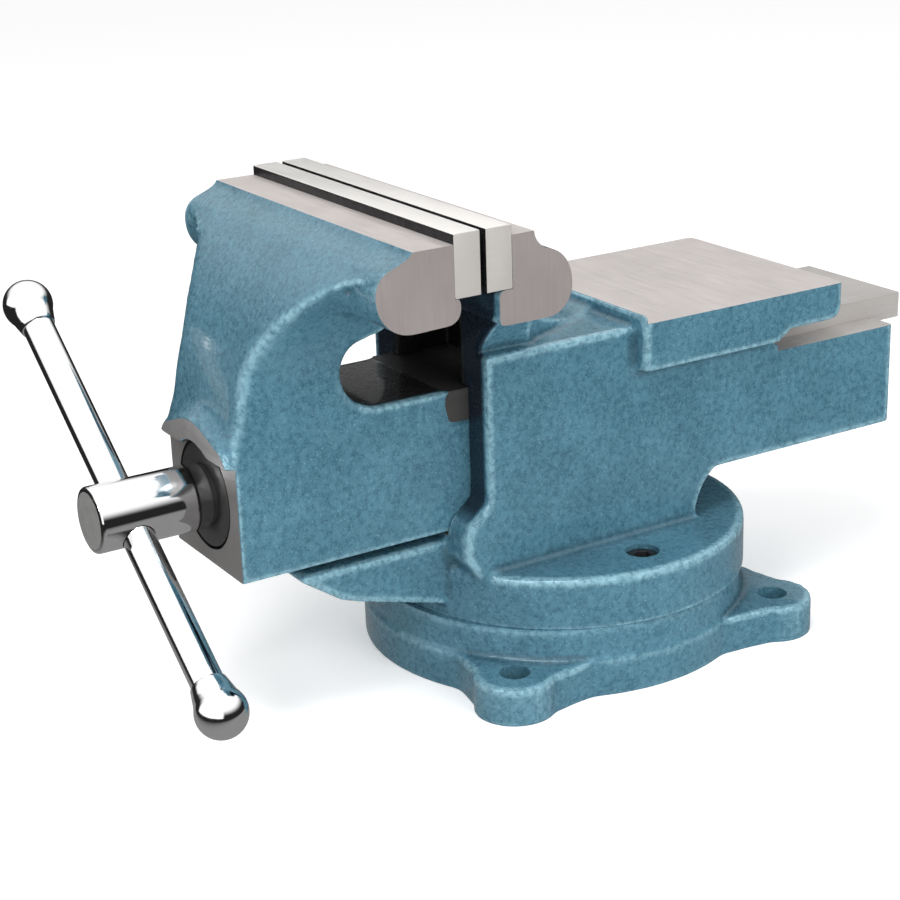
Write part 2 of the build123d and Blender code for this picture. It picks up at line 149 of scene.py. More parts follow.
paintLook = {
    "body": (0.122, 0.288, 0.378),
    "deep": (0.052, 0.150, 0.210),
    "light": (0.330, 0.560, 0.650),
    "spot": (0.016, 0.048, 0.070),
    # painted shade: the near-black colour of the throat and of the pocket over the slide
    "throat": (0.024, 0.024, 0.024),
    "shade": (0.011, 0.021, 0.036),
    "cell": 0.0026,
    "fleck": 0.0012,
    "metallic": 0.18,
    "rough": 0.24,
    "specular": 0.25,
    "coat": 0.45,
    "coatRough": 0.08,
    "relief": 0.00040,
}


# the ends of the areas of painted shade, in metres: a pair is a soft step from its first value to its
# second
throat = {
    "side": (0.0325, 0.0355),
    "front": (-0.1515, -0.1480),
    "back": (-0.0470, -0.0440),
    "floor": (0.1530, 0.1570),
    "roof": 0.1975,
    "roofDrop": 0.0050,
    "dropAt": (-0.1000, -0.0850),
    "edge": 0.0025,
}
slideShade = {"back": (-0.0780, -0.0400)}
frontShade = {
    "reach": 0.0500,
    "widening": 0.0440,
    "widensAt": (0.180, 0.214),
    "edge": 0.003,
    "back": (-0.0788, -0.0768),
    "floor": (0.0900, 0.0980),
}


# 1 inside the throat and the cored pocket over the slide: painted shade, near black, for the shade in these
# recesses
def throatShadeMask(x, y, z):
    mask = 1.0 - x.size().between(*throat["side"])
    mask = mask * y.between(*throat["front"]) * (1.0 - y.between(*throat["back"]))
    roof = throat["roof"] - throat["roofDrop"] * y.between(*throat["dropAt"])
    above = ((z - roof) / throat["edge"]).between(0.0, 1.0)
    return mask * z.between(*throat["floor"]) * (1.0 - above)


# 1 on the front of the slideway, where it runs in the throat: painted shade, dark
def slideShadeMask(x, y, z):
    return 1.0 - y.between(*slideShade["back"])


# 1 on the front of the fixed casting, between its edges: painted shade for the shaded gap behind the moving
# jaw
def frontShadeMask(x, y, z):
    reach = frontShade["reach"] + frontShade["widening"] * z.between(*frontShade["widensAt"])
    inside = 1.0 - ((x.size() - reach) / frontShade["edge"]).between(0.0, 1.0)
    return inside * (1.0 - y.between(*frontShade["back"])) * z.between(*frontShade["floor"])


def hammerPaint(name, masks):
    material, f = newFinish(name)
    drift = f.cloud(0.030, 2.0).between(0.35, 0.65)
    mottle = f.cloud(0.0030, 4.0, 0.68).between(0.30, 0.70)
    pools = f.cells(paintLook["cell"], 0.4)
    dark = 1.0 - f.cells(paintLook["fleck"]).between(0.12, 0.42)
    chosen = f.cloud(0.0042, 2.0).between(0.50, 0.62)
    bright = 1.0 - f.cells(paintLook["fleck"] * 1.37).between(0.08, 0.28)
    colour = f.blend(mottle * 0.60 + drift * 0.20, paintLook["deep"], paintLook["body"])
    colour = f.blend(dark * chosen * 0.62, colour, paintLook["spot"])
    colour = f.blend(bright * (1.0 - chosen) * 0.45, colour, paintLook["light"])
    ridge = f.signal("ShaderNodeAttribute", {"attribute_name": "ridge"}, {}, "Fac")
    # painted highlight: lighter paint on the rounded edges; the next blend makes the corners darker
    colour = f.blend(ridge.between(0.14, 0.70) * (0.22 + 0.55 * mottle), colour, paintLook["light"])
    colour = f.blend((0.0 - ridge).between(0.14, 0.80) * 0.50, colour, paintLook["spot"])
    for mask, tone in masks:
        colour = f.blend(mask(*f.axes()), colour, paintLook[tone])
    height = pools * 0.8 + mottle * 0.25
    f.shader(
        Base_Color=colour,
        Metallic=paintLook["metallic"],
        Roughness=paintLook["rough"] + 0.12 * mottle,
        Specular_IOR_Level=paintLook["specular"],
        Coat_Weight=paintLook["coat"],
        Coat_Roughness=paintLook["coatRough"],
        Normal=f.bump(height, paintLook["relief"], 0.70),
    )
    return material


# how deep the tool marks are, in metres
milled = 0.00006
faceMilled = 0.00003
surfaceGround = 0.000004


# grain is the direction that the tool marks run along
def groundMetal(name, colour, grain, metallic, rough, marks=0.12, stain=0.10, relief=milled, mask=None):
    material, f = newFinish(name)
    stretch = tuple(0.03 if axis == grain else 1.0 for axis in "xyz")
    place = f.place(stretch)
    lines = f.cloud(0.00085, 3.0, 0.6, place).between(0.28, 0.72)
    broad = f.cloud(0.0060, 2.0, 0.5, place)
    patches = f.cloud(0.022, 3.0).between(0.35, 0.70)
    shade = tuple(c * (1.0 - 2.2 * marks) for c in colour)
    worn = tuple(c * (1.0 - 2.0 * stain) for c in colour)
    tone = f.blend(lines * 0.7 + broad * 0.3, shade, colour)
    tone = f.blend(patches * 0.5, tone, worn)
    # painted shade: where the mask is 1 the metal takes the throat's near-black colour
    if mask:
        tone = f.blend(mask(*f.axes()) * 0.92, tone, paintLook["throat"])
    f.shader(
        Base_Color=tone,
        Metallic=metallic,
        Roughness=rough + 0.12 * lines - 0.05 * patches,
        Normal=f.bump(lines, relief, 0.6),
    )
    return material


# fine rings about the screw axis, as a lathe leaves them
def latheFace():
    material, f = newFinish("latheFace")
    flat = f.place((1, 0, 1), (0, 0, -screwZ))
    reach = f.signal("ShaderNodeVectorMath", {"operation": "LENGTH"}, {0: flat}, "Value")
    links = {"W": reach, "Scale": 2600.0, "Detail": 2.0}
    rings = f.signal("ShaderNodeTexNoise", {"noise_dimensions": "1D"}, links).between(0.30, 0.70)
    stain = f.cloud(0.006, 3.0).between(0.35, 0.70)
    tone = f.blend(rings * 0.6 + stain * 0.3, (0.26, 0.26, 0.255), (0.40, 0.40, 0.39))
    f.shader(
        Base_Color=tone,
        Metallic=0.35,
        Roughness=0.38 + 0.10 * rings,
        Normal=f.bump(rings, 0.00003, 0.5),
    )
    return material


def chromePlate():
    material, f = newFinish("chromePlate")
    haze = f.cloud(0.012, 3.0).between(0.35, 0.70)
    rub = f.cloud(0.0011, 2.0, 0.5, f.place((1.0, 0.05, 1.0))).between(0.45, 0.75)
    tone = f.blend(haze * 0.4, (0.86, 0.86, 0.865), (0.80, 0.80, 0.81))
    f.shader(
        Base_Color=tone,
        Metallic=1.0,
        Roughness=0.055 + 0.05 * haze + 0.03 * rub,
        Normal=f.bump(rub, 0.00001, 0.3),
    )
    return material


def darkSteel():
    material, f = newFinish("darkSteel")
    grain = f.cloud(0.0009, 3.0).between(0.30, 0.70)
    patch = f.cloud(0.006, 3.0).between(0.40, 0.70)
    tone = f.blend(grain * 0.5 + patch * 0.4, (0.016, 0.016, 0.018), (0.050, 0.049, 0.050))
    f.shader(
        Base_Color=tone,
        Metallic=0.65,
        Roughness=0.34 + 0.16 * grain,
        Normal=f.bump(grain, 0.00004, 0.5),
    )
    return material


def castNutIron():
    material, f = newFinish("castNutIron")
    grain = f.cloud(0.0011, 4.0, 0.65).between(0.30, 0.70)
    patch = f.cloud(0.009, 3.0).between(0.35, 0.70)
    tone = f.blend(grain * 0.5 + patch * 0.3, (0.085, 0.080, 0.076), (0.170, 0.162, 0.155))
    f.shader(
        Base_Color=tone,
        Metallic=0.5,
        Roughness=0.50 + 0.15 * grain,
        Normal=f.bump(grain, 0.00018, 0.6),
    )
    return material


finishes = {
    "paint": hammerPaint("hammerPaint", [(throatShadeMask, "throat")]),
    "bodyPaint": hammerPaint("bodyPaint", [(frontShadeMask, "shade"), (throatShadeMask, "throat")]),
    "faced": groundMetal("facedIron", (0.385, 0.345, 0.335), "z", 0.35, 0.40, 0.06, 0.08, faceMilled),
    "hood": groundMetal("hoodFront", (0.300, 0.292, 0.290), "z", 0.30, 0.40, 0.06, 0.08, faceMilled),
    # the boss face under the hood is a darker copy of the faced iron, as painted shade
    "front": groundMetal("bossFront", (0.250, 0.242, 0.238), "z", 0.35, 0.40, 0.06, 0.08, faceMilled),
    # the machined tops are a lighter copy of the faced iron, as painted light from above
    "anvil": groundMetal("anvilFace", (0.66, 0.61, 0.59), "x", 0.30, 0.36, 0.06, 0.05, faceMilled),
    "slide": groundMetal("slidewayIron", (0.54, 0.515, 0.495), "y", 0.35, 0.30, 0.06, 0.06, faceMilled),
    # the rail's front, which runs in the throat, is darkened as painted shade
    "rail": groundMetal(
        "railIron", (0.54, 0.515, 0.495), "y", 0.25, 0.34, 0.06, 0.06, faceMilled, slideShadeMask,
    ),
    "bored": groundMetal("boredIron", (0.075, 0.073, 0.073), "y", 0.5, 0.42),
    "jaw": groundMetal("groundJawSteel", (0.53, 0.505, 0.48), "y", 0.25, 0.36, 0.03, 0.04, surfaceGround),
    # a lighter copy of the ground jaw steel for the plate tops: painted light from above
    "jawTop": groundMetal("groundJawTop", (0.78, 0.76, 0.73), "x", 0.20, 0.36, 0.03, 0.03, surfaceGround),
    "turned": groundMetal("turnedSteel", (0.50, 0.49, 0.48), "z", 0.9, 0.28),
    "cap": latheFace(),
    "spring": groundMetal("springSteel", (0.22, 0.22, 0.225), "y", 0.9, 0.30),
    "chrome": chromePlate(),
    "dark": darkSteel(),
    "nut": castNutIron(),
}
print("vise: finishes made")


def newPiece(name, mesh, materials):
    mesh.name = name
    piece = bpy.data.objects.new(name, mesh)
    bpy.context.scene.collection.objects.link(piece)
    mesh.materials.clear()
    for key in materials:
        mesh.materials.append(finishes[key])
    return piece


def meshFrom(name, build):
    shape = bmesh.new()
    build(shape)
    bmesh.ops.recalc_face_normals(shape, faces=shape.faces)
    mesh = bpy.data.meshes.new(name)
    shape.to_mesh(mesh)
    shape.free()
    return mesh


def softShade(mesh, degrees=32.0):
    for face in mesh.polygons:
        face.use_smooth = True
    mesh.set_sharp_from_angle(angle=math.radians(degrees))


# evaluate an object with its modifiers, and keep the result as a plain mesh
def applyAll(piece):
    view = bpy.context.evaluated_depsgraph_get()
    done = bpy.data.meshes.new_from_object(piece.evaluated_get(view))
    old = piece.data
    piece.modifiers.clear()
    piece.data = done
    done.name = old.name
    if old.users == 0:
        bpy.data.meshes.remove(old)
    return piece


# a body of revolution: profile is (radius, distance) pairs, turned about the local Z of matrix
def lathe(shape, profile, matrix, segments=96, closed=False):
    rings = []
    for radius, along in profile:
        if radius < 1e-7:  # a pole
            rings.append([shape.verts.new(matrix @ Vector((0, 0, along)))])
            continue
        ring = []
        for step in range(segments):
            angle = 2 * math.pi * step / segments
            point = Vector((radius * math.cos(angle), radius * math.sin(angle), along))
            ring.append(shape.verts.new(matrix @ point))
        rings.append(ring)
    pairs = list(zip(rings, rings[1:]))
    if closed:
        pairs.append((rings[-1], rings[0]))
    for low, high in pairs:
        for step in range(segments):
            after = (step + 1) % segments
            if len(low) == 1:
                shape.faces.new((low[0], high[after], high[step]))
            elif len(high) == 1:
                shape.faces.new((low[step], low[after], high[0]))
            else:
                shape.faces.new((low[step], low[after], high[after], high[step]))


def addBox(shape, low, high):
    middle = (Vector(low) + Vector(high)) / 2
    size = Vector(high) - Vector(low)
    matrix = Matrix.Translation(middle) @ Matrix.Diagonal((*size, 1.0))
    bmesh.ops.create_cube(shape, size=1.0, matrix=matrix)


alongZ = Matrix.Identity(4)


def yAxis(x, z):
    return Matrix.Translation((x, 0, z)) @ Matrix.Rotation(-math.pi / 2, 4, "X")


def zAxis(x, y):
    return Matrix.Translation((x, y, 0))


def solidRod(shape, matrix, radius, low, high, segments=64):
    lathe(shape, [(0, low), (radius, low), (radius, high), (0, high)], matrix, segments)


onPlane = 6e-5  # how near to a plane a point counts as on it


# a node's mesh with its doubles merged, to edit and then write back
def cadCopy(node):
    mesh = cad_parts[node].data.copy()
    shape = bmesh.new()
    shape.from_mesh(mesh)
    bmesh.ops.remove_doubles(shape, verts=shape.verts, dist=4e-6)
    return mesh, shape


def settle(piece, body, slot, *nodes):
    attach(piece, body)
    if nodes:
        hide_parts(*nodes)
    return piece


# A casting is the CAD solid with stock left on its machined planes, remeshed and rounded as
# a foundry would leave it. Then the machining cuts the planes, seats and bores sharp.
castRules = {
    "voxel": 0.0015,
    "rounding": 11,
    "softer": 90,
    "keep": 0.42,
}


# each plane is (axis, place, stock, and the height above which it counts)
def stockOn(shape, planes):
    for axis, place, amount, lowest in planes:
        for vertex in shape.verts:
            if abs(vertex.co[axis] - place) < onPlane and vertex.co.z >= lowest:
                vertex.co[axis] += amount


def boxCut(low, high):
    return lambda shape: addBox(shape, low, high)


def boreCut(matrix, radius, low, high, segments=72):
    return lambda shape: solidRod(shape, matrix, radius, low, high, segments)


def ringCut(inner, outer, low, high):
    profile = [(inner, low), (outer, low), (outer, high), (inner, high)]
    return lambda shape: lathe(shape, profile, alongZ, 128, True)


# how far each point stands out of its neighbours, in tenths of a millimetre: the paint takes a painted
# highlight on the rounded edges and is darker in the corners
def markRidges(mesh):
    count = len(mesh.vertices)
    places = numpy.empty(count * 3)
    normals = numpy.empty(count * 3)
    ends = numpy.empty(len(mesh.edges) * 2, dtype=numpy.int32)
    mesh.vertices.foreach_get("co", places)
    mesh.vertices.foreach_get("normal", normals)
    mesh.edges.foreach_get("vertices", ends)
    places = places.reshape(-1, 3)
    first, second = ends[0::2], ends[1::2]
    links = numpy.bincount(ends, minlength=count)

    def around(values):
        total = numpy.bincount(first, values[second], count)
        total += numpy.bincount(second, values[first], count)
        return total / numpy.maximum(links, 1)

    middle = numpy.stack([around(places[:, axis]) for axis in range(3)], axis=1)
    tenth = 0.0001
    ridge = ((places - middle) * normals.reshape(-1, 3)).sum(axis=1) / tenth
    for _ in range(4):
        ridge = 0.5 * ridge + 0.5 * around(ridge)
    layer = mesh.attributes.new("ridge", "FLOAT", "POINT")
    layer.data.foreach_set("value", ridge.astype(numpy.float32))


# plugs fill the bores before the remesh, a cut is (its finish, its shape), and soft picks
# the points that get more rounding
def castPiece(name, node, body, materials, planes, plugs, cuts, soft=None):
    mesh, shape = cadCopy(node)
    stockOn(shape, planes)
    for plug in plugs:
        plug(shape)
    shape.to_mesh(mesh)
    shape.free()
    piece = newPiece(name, mesh, materials)
    remesh = piece.modifiers.new("remesh", "REMESH")
    remesh.mode = "VOXEL"
    remesh.voxel_size = castRules["voxel"]
    if soft:
        applyAll(piece)
        edges = piece.vertex_groups.new(name="soft")
        edges.add([v.index for v in piece.data.vertices if soft(v.co)], 1.0, "REPLACE")
        extra = piece.modifiers.new("extra", "SMOOTH")
        extra.factor = 0.5
        extra.iterations = castRules["softer"]
        extra.vertex_group = "soft"
    smooth = piece.modifiers.new("smooth", "SMOOTH")
    smooth.factor = 0.5
    smooth.iterations = castRules["rounding"]
    applyAll(piece)
    markRidges(piece.data)
    thin = piece.modifiers.new("thin", "DECIMATE")
    thin.ratio = castRules["keep"]
    applyAll(piece)
    cutters = []
    for finish, cut in cuts:
        cutMesh = meshFrom("cutter", cut)
        cutter = newPiece("cutter", cutMesh, materials)
        for face in cutMesh.polygons:
            face.material_index = materials.index(finish)
        machining = piece.modifiers.new("cut", "BOOLEAN")
        machining.operation = "DIFFERENCE"
        machining.solver = "MANIFOLD"
        machining.object = cutter
        cutters.append(cutter)
    applyAll(piece)
    for cutter in cutters:
        old = cutter.data
        bpy.data.objects.remove(cutter)
        bpy.data.meshes.remove(old)
    softShade(piece.data)
    settle(piece, body, "painted_casting", node)
    print("vise:", name, len(piece.data.polygons), "faces")
    return piece


far = 0.4  # past the object on every side

movingSizes = {
    "stock": 0.004,
    "skim": 0.001,
    "jawEnd": 0.100,
    "endStock": 0.19,
    "endFloor": 0.18,
    "top": 0.250,
    "seatY": -0.12365,
    "seatFloor": 0.2245,
    "seatBack": -0.05,
    "railSide": 0.038,
    "railWide": 0.06,
    "railFront": -0.094,
    "slideFront": -0.0935,
    "slideTop": 0.1585,
    "railRoof": 0.2,
    "tail": 0.211,
    "bossFront": -0.2095,
    "bossFloor": 0.04,
    "bossTop": 0.1430,
    "hoodFront": -0.2145,
    "hoodFloor": 0.1425,
    "hoodTop": 0.1650,
    "pastFront": -0.25,
    "counterbore": 0.0280,
    "counterboreEnd": -0.2055,
    "bore": 0.01508,
    "boreEnd": -0.170,
}


def makeMovingJaw():
    size = movingSizes
    end, top, stock = size["jawEnd"], size["top"], size["stock"]
    side, wide, roof = size["railSide"], size["railWide"], size["railRoof"]
    front, boss, hood = size["pastFront"], size["bossFront"], size["hoodFront"]
    planes = [
        (0, end, stock, size["endStock"]),
        (0, -end, -stock, size["endStock"]),
        (2, top, stock, 0),
        (1, size["tail"], stock, 0),
        (1, boss, -size["skim"], 0),
        (1, hood, -size["skim"], 0),
    ]
    axis = yAxis(0, screwZ)
    plugs = [
        lambda s: solidRod(s, axis, 0.0286, -0.2105, -0.2000),
        lambda s: solidRod(s, axis, 0.0160, -0.2050, -0.1755),
        lambda s: addBox(s, (-0.0410, -0.0900, 0.1440), (0.0410, 0.2150, 0.1615)),
    ]
    cuts = [
        ("faced", boxCut((end, -far, size["endFloor"]), (far, far, far))),
        ("faced", boxCut((-far, -far, size["endFloor"]), (-end, far, far))),
        ("anvil", boxCut((-far, -far, top), (far, far, far))),
        ("faced", boxCut((-far, size["seatY"], size["seatFloor"]), (far, size["seatBack"], far))),
        ("rail", boxCut((side, size["railFront"], 0.0), (wide, far, roof))),
        ("rail", boxCut((-wide, size["railFront"], 0.0), (-side, far, roof))),
        ("rail", boxCut((-wide, size["slideFront"], size["slideTop"]), (wide, far, roof))),
        ("rail", boxCut((-wide, size["tail"], 0.0), (wide, far, roof))),
        ("front", boxCut((-wide, front, size["bossFloor"]), (wide, boss, size["bossTop"]))),
        ("hood", boxCut((-wide, front, size["hoodFloor"]), (wide, hood, size["hoodTop"]))),
        ("bored", boreCut(axis, size["counterbore"], front, size["counterboreEnd"])),
        ("bored", boreCut(axis, size["bore"], front, size["boreEnd"])),
    ]
    materials = ["paint", "faced", "rail", "bored", "front", "hood", "anvil"]
    return castPiece(
        "movingJawCasting", "moving_jaw", "front_jaw", materials, planes, plugs, cuts,
        lambda co: co.z > 0.150 and co.y < -0.140 and abs(co.x) < 0.075,
    )


fixedSizes = {
    "stock": 0.004,
    "skin": 0.003,
    "jawEnd": 0.100,
    "endFloor": 0.19,
    "top": 0.250,
    "seatY": -0.09235,
    "seatFloor": 0.2245,
    "seatFront": -0.15,
    "anvilFront": 0.0115,
    "anvilTop": 0.1813,
    "ledgeFront": 0.1065,
    "ledgeFloor": 0.147,
    "ledgeRoof": 0.1536,
    "foot": 0.0365,
    "channelSide": 0.03825,
    "channelFront": -0.12,
    "channelBack": 0.045,
    "channelFloor": 0.082,
    "channelRoof": 0.1592,
    "rearFront": 0.04,
    "rearFloor": 0.098,
    "mouthFront": 0.104,
    "mouthFloor": 0.12,
    "mouthRoof": 0.16075,
    "pastBack": 0.25,
    "lockX": 0.076,
    "lockPlug": 0.0093,
    "lockSeat": 0.0090,
    "lockSeatZ": 0.0516,
    "lockHole": 0.0055,
    "holeFoot": 0.02,
    "holeTop": 0.08,
    "pivotHole": 0.0100,
    "pivotTop": 0.074,
    "nutBoltY": -0.044,
    "nutBoltHole": 0.0060,
    "nutBoltTop": 0.09,
    "nutBoltSeat": 0.0130,
    "nutBoltSeatZ": 0.0525,
}


def makeFixedBody():
    size = fixedSizes
    end, top, stock, skin = size["jawEnd"], size["top"], size["stock"], size["skin"]
    side, back, foot = size["channelSide"], size["pastBack"], size["holeFoot"]
    front, floor, roof = size["channelFront"], size["channelFloor"], size["channelRoof"]
    planes = [
        (0, end, stock, size["endFloor"]),
        (0, -end, -stock, size["endFloor"]),
        (2, top, stock, 0),
        (2, size["anvilTop"], stock, 0),
        (2, size["ledgeFloor"], skin, 0),
        (2, size["foot"], -skin, 0),
        (0, side, -skin, 0),
        (0, -side, skin, 0),
        (2, floor, skin, 0),
        (2, size["rearFloor"], skin, 0),
        (2, roof, -skin, 0),
    ]
    locks = [zAxis(size["lockX"], 0), zAxis(-size["lockX"], 0)]
    pivot, nutBolt = zAxis(0, 0), zAxis(0, size["nutBoltY"])
    plugs = [lambda s, m=m: solidRod(s, m, size["lockPlug"], 0.0345, 0.0636) for m in locks]
    cuts = [
        ("faced", boxCut((end, -far, size["endFloor"]), (far, far, far))),
        ("faced", boxCut((-far, -far, size["endFloor"]), (-end, far, far))),
        ("anvil", boxCut((-far, -far, top), (far, far, far))),
        ("faced", boxCut((-far, size["seatFront"], size["seatFloor"]), (far, size["seatY"], far))),
        ("anvil", boxCut((-far, size["anvilFront"], size["anvilTop"]), (far, far, far))),
        ("slide", boxCut((-far, size["ledgeFront"], size["ledgeFloor"]), (far, far, size["ledgeRoof"]))),
        ("bodyPaint", boxCut((-far, -far, -0.1), (far, far, size["foot"]))),
        ("slide", boxCut((-side, front, floor), (side, size["channelBack"], roof))),
        ("slide", boxCut((-side, size["rearFront"], size["rearFloor"]), (side, back, roof))),
        ("slide", boxCut((-side, size["mouthFront"], size["mouthFloor"]), (side, back, size["mouthRoof"]))),
    ]
    for lock in locks:
        cuts.append(("bodyPaint", boreCut(lock, size["lockSeat"], size["lockSeatZ"], size["holeTop"])))
        cuts.append(("bored", boreCut(lock, size["lockHole"], foot, size["holeTop"])))
    cuts += [
        ("bored", boreCut(pivot, size["pivotHole"], foot, size["pivotTop"])),
        ("bored", boreCut(nutBolt, size["nutBoltHole"], foot, size["nutBoltTop"])),
        ("bored", boreCut(nutBolt, size["nutBoltSeat"], foot, size["nutBoltSeatZ"])),
    ]
    materials = ["bodyPaint", "faced", "anvil", "slide", "bored"]
    return castPiece("fixedBodyCasting", "fixed_body", "turret", materials, planes, plugs, cuts)


baseSizes = {
    "skin": 0.003,
    "top": 0.0364,
    "slotInner": 0.0695,
    "slotOuter": 0.0825,
    "slotFloor": 0.0230,
    "tSlotInner": 0.0645,
    "tSlotOuter": 0.0875,
    "tSlotFloor": 0.0110,
    "tSlotRoof": 0.0240,
    "pivotHole": 0.01008,
    "pivotRecess": 0.0260,
    "recessRoof": 0.015,
    "lugAngles": (-46.0, 46.0, 180.0),
    "lugReach": 0.117,
    "lugHole": 0.0080,
    "lugPlug": 0.0083,
    "lugTop": 0.0197,
}


def makeSwivelBase():
    size = baseSizes
    top, skin, reach = size["top"], size["skin"], size["lugReach"]
    planes = [(2, top, skin, -1), (2, 0.0, -skin, -1)]
    turns = [math.radians(angle) for angle in size["lugAngles"]]
    lugs = [zAxis(reach * math.cos(turn), reach * math.sin(turn)) for turn in turns]
    plugs = [lambda s, m=m: solidRod(s, m, size["lugPlug"], -skin, size["lugTop"]) for m in lugs]
    cuts = [
        ("paint", boxCut((-far, -far, top), (far, far, far))),
        ("faced", boxCut((-far, -far, -0.1), (far, far, 0.0))),
        ("faced", ringCut(size["slotInner"], size["slotOuter"], size["slotFloor"], 0.05)),
        ("faced", ringCut(size["tSlotInner"], size["tSlotOuter"], size["tSlotFloor"], size["tSlotRoof"])),
        ("bored", boreCut(zAxis(0, 0), size["pivotHole"], -0.05, 0.05)),
        ("bored", boreCut(zAxis(0, 0), size["pivotRecess"], -0.05, size["recessRoof"])),
    ]
    cuts += [("paint", boreCut(lug, size["lugHole"], -0.05, 0.05)) for lug in lugs]
    materials = ["paint", "faced", "bored"]
    return castPiece("swivelBaseCasting", "swivel_base", "base", materials, planes, plugs, cuts)


makeMovingJaw()
makeFixedBody()
makeSwivelBase()


# a tree with named inputs; build gets the group, its input node and must return the last geometry
def growTree(name, inputs, build, material):
    group = bpy.data.node_groups.new(name, "GeometryNodeTree")
    group.interface.new_socket("Geometry", in_out="OUTPUT", socket_type="NodeSocketGeometry")
    kinds = {float: "NodeSocketFloat", int: "NodeSocketInt"}
    named = {}
    for key, value in inputs.items():
        socket = group.interface.new_socket(key, in_out="INPUT", socket_type=kinds[type(value)])
        named[key] = socket.identifier
    entry = group.nodes.new("NodeGroupInput")
    leave = group.nodes.new("NodeGroupOutput")
    last = build(group, entry)
    realize = group.nodes.new("GeometryNodeRealizeInstances")
    coat = group.nodes.new("GeometryNodeSetMaterial")
    coat.inputs["Material"].default_value = material
    group.links.new(last, realize.inputs[0])
    group.links.new(realize.outputs[0], coat.inputs["Geometry"])
    group.links.new(coat.outputs[0], leave.inputs[0])
    carrier = bpy.data.objects.new(name, bpy.data.meshes.new(name))
    bpy.context.scene.collection.objects.link(carrier)
    grown = carrier.modifiers.new(name, "NODES")
    grown.node_group = group
    for key, value in inputs.items():
        grown[named[key]] = value
    applyAll(carrier)
    mesh = carrier.data
    bpy.data.objects.remove(carrier)
    return mesh


def treeNode(group, kind, settings=None, links=None):
    made = group.nodes.new(kind)
    for key, value in (settings or {}).items():
        setattr(made, key, value)
    for key, value in (links or {}).items():
        if isinstance(value, bpy.types.NodeSocket):
            group.links.new(value, made.inputs[key])
        else:
            made.inputs[key].default_value = value
    return made


plateSizes = {
    "half": 0.100,
    "low": 0.2245,
    "high": 0.2550,
    "thick": 0.0145,
    "bevel": 0.0003,
    "tooth": 0.0024,
    "depth": 0.0004,
    "sink": 0.0001,
    "margin": 0.0024,
    "holeX": 0.060,
    "holeZ": 0.23975,
    "clear": 0.0112,
}


# rows of four-sided teeth on the gripping face, left out round the screw heads
def teethTree(group, entry):
    def value(name):
        return entry.outputs[name]

    def add(kind, links, **settings):
        return treeNode(group, kind, settings, links)

    grid = add("GeometryNodeMeshGrid", {
        "Size X": value("width"), "Size Y": value("height"),
        "Vertices X": value("columns"), "Vertices Y": value("rows"),
    })
    upright = {"Geometry": grid.outputs[0], "Rotation": (math.pi / 2, 0, 0)}
    stand = add("GeometryNodeTransform", upright)
    spot = add("GeometryNodeInputPosition", {})
    parts = add("ShaderNodeSeparateXYZ", {0: spot.outputs[0]})
    side = add("ShaderNodeMath", {0: parts.outputs[0]}, operation="ABSOLUTE")
    offset = add("ShaderNodeMath", {0: side.outputs[0], 1: value("holeX")}, operation="SUBTRACT")
    flat = add("ShaderNodeCombineXYZ", {0: offset.outputs[0], 2: parts.outputs[2]})
    reach = add("ShaderNodeVectorMath", {0: flat.outputs[0]}, operation="LENGTH")
    inside = {0: reach.outputs["Value"], 1: value("clear")}
    near = add("FunctionNodeCompare", inside, operation="LESS_THAN")
    kept = add("GeometryNodeDeleteGeometry", {0: stand.outputs[0], 1: near.outputs[0]}, domain="POINT")
    tooth = add("GeometryNodeMeshCone", {
        "Vertices": 4, "Radius Top": 0.0, "Radius Bottom": value("toothRadius"), "Depth": value("depth"),
    })
    square = {"Geometry": tooth.outputs[0], "Rotation": (0, 0, math.pi / 4)}
    turned = add("GeometryNodeTransform", square)
    lean = add("ShaderNodeMath", {0: value("facing"), 1: -math.pi / 2}, operation="MULTIPLY")
    tip = add("ShaderNodeCombineXYZ", {0: lean.outputs[0]})
    outward = {"Geometry": turned.outputs[0], "Rotation": tip.outputs[0]}
    aimed = add("GeometryNodeTransform", outward)
    points = add("GeometryNodeMeshToPoints", {0: kept.outputs[0]})
    rows = {"Points": points.outputs[0], "Instance": aimed.outputs[0]}
    spread = add("GeometryNodeInstanceOnPoints", rows)
    place = add("ShaderNodeCombineXYZ", {1: value("faceY"), 2: value("middleZ")})
    onFace = {"Geometry": spread.outputs[0], "Translation": place.outputs[0]}
    return add("GeometryNodeTransform", onFace).outputs[0]


